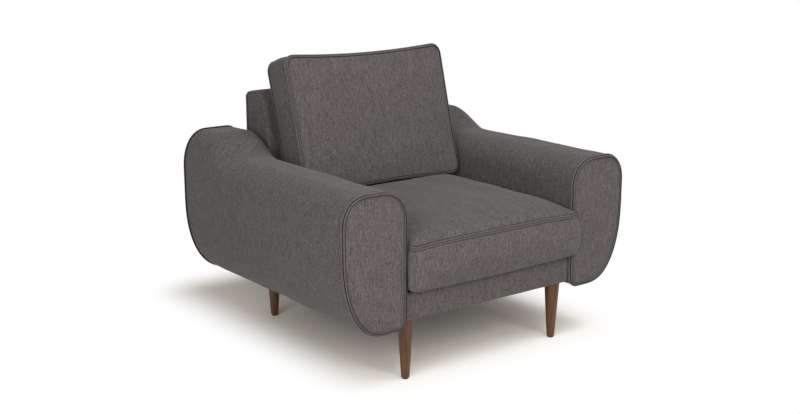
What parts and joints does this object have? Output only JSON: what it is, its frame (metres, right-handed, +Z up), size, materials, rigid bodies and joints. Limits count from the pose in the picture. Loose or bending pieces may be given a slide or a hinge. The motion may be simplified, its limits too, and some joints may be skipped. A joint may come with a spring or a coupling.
{
  "type": "upholstered armchair",
  "caption": "Low upholstered armchair with broad rounded arms that rise at the rear, a loose boxed seat cushion, a loose boxed back cushion and tapered wooden legs.",
  "frame": {"origin": "on the floor, under the middle of the chair's outer box", "axes": "+Z up; the chair faces -Y; +X runs from the left arm to the right arm as seen from the front, and x = 0 is the plane of symmetry"},
  "size_m": [1.086, 0.926, 0.8803],
  "materials": {
    "upholstery_fabric": "woven, heathered warm dark grey, matt",
    "welt_fabric": "the cover cloth, cut on the bias over cord",
    "deck_cloth": "plain dark lining cloth",
    "dust_cloth": "black nonwoven",
    "felt": "grey needled felt",
    "foam": "open cell polyurethane foam, cream",
    "webbing": "elastic webbing, black",
    "walnut": "reddish brown stain, satin lacquer",
    "beech": "planed, raw",
    "birch_plywood": "sanded, raw",
    "spring_steel": "japanned black",
    "clip_steel": "pressed, bright",
    "zinc_steel": "zinc plated",
    "glide_nylon": "moulded, dark brown",
    "zip_tape": "woven tape, black",
    "zip_metal": "die cast, nickel plated"
  },
  "bodies": {
    "frame": {"leg_front_left": "walnut", "leg_front_right": "walnut", "leg_rear_left": "walnut", "leg_rear_right": "walnut", "leg_glides": "glide_nylon", "leg_bolts": "zinc_steel", "leg_nuts": "zinc_steel", "front_rail": "beech", "rear_rail": "beech", "side_rail_left": "beech", "side_rail_right": "beech", "corner_blocks": "beech", "seat_springs": "spring_steel", "spring_clips": "clip_steel", "deck_pad": "felt", "deck_cover": "deck_cloth", "front_border_pad": "foam", "front_border_cover": "upholstery_fabric", "dust_cover": "dust_cloth", "arm_front_board_left": "birch_plywood", "arm_front_board_right": "birch_plywood", "arm_rear_board_left": "birch_plywood", "arm_rear_board_right": "birch_plywood", "arm_top_rail_left": "beech", "arm_top_rail_right": "beech", "arm_inner_board_left": "birch_plywood", "arm_inner_board_right": "birch_plywood", "arm_pad_left": "foam", "arm_pad_right": "foam", "arm_cover_left": "upholstery_fabric", "arm_cover_right": "upholstery_fabric", "arm_front_panel_left": "upholstery_fabric", "arm_front_panel_right": "upholstery_fabric", "arm_rear_panel_left": "upholstery_fabric", "arm_rear_panel_right": "upholstery_fabric", "arm_front_welt_left": "welt_fabric", "arm_front_welt_right": "welt_fabric", "arm_rear_welts": "welt_fabric", "arm_bolts": "zinc_steel", "back_post_left": "beech", "back_post_right": "beech", "back_top_rail": "beech", "back_webbing": "webbing", "back_pad": "foam", "back_cover": "upholstery_fabric", "outside_back": "upholstery_fabric"},
    "seat_cushion": {"seat_cushion_core": "foam", "seat_cushion_top": "upholstery_fabric", "seat_cushion_boxing": "upholstery_fabric", "seat_cushion_bottom": "deck_cloth", "seat_cushion_welt": "welt_fabric", "seat_cushion_zip": "zip_tape"},
    "back_cushion": {"back_cushion_core": "foam", "back_cushion_front": "upholstery_fabric", "back_cushion_rear": "upholstery_fabric", "back_cushion_boxing": "upholstery_fabric", "back_cushion_welts": "welt_fabric", "back_cushion_zip": "zip_tape"},
    "seat_zip_slider": {"seat_zip_slider": "zip_metal"},
    "back_zip_slider": {"back_zip_slider": "zip_metal"}
  },
  "joints": [
    {"name": "seat_cushion_slide", "type": "slide", "parent": "frame", "child": "seat_cushion", "axis": [0, -1, 0], "range_m": [0, 0.7]},
    {"name": "back_cushion_lift", "type": "slide", "parent": "frame", "child": "back_cushion", "axis": [0, 0, 1], "range_m": [0, 0.45]},
    {"name": "seat_zip_run", "type": "slide", "parent": "seat_cushion", "child": "seat_zip_slider", "axis": [1, 0, 0], "range_m": [0, 0.498]},
    {"name": "back_zip_run", "type": "slide", "parent": "back_cushion", "child": "back_zip_slider", "axis": [-1, 0, 0], "range_m": [0, 0.438]}
  ]
}
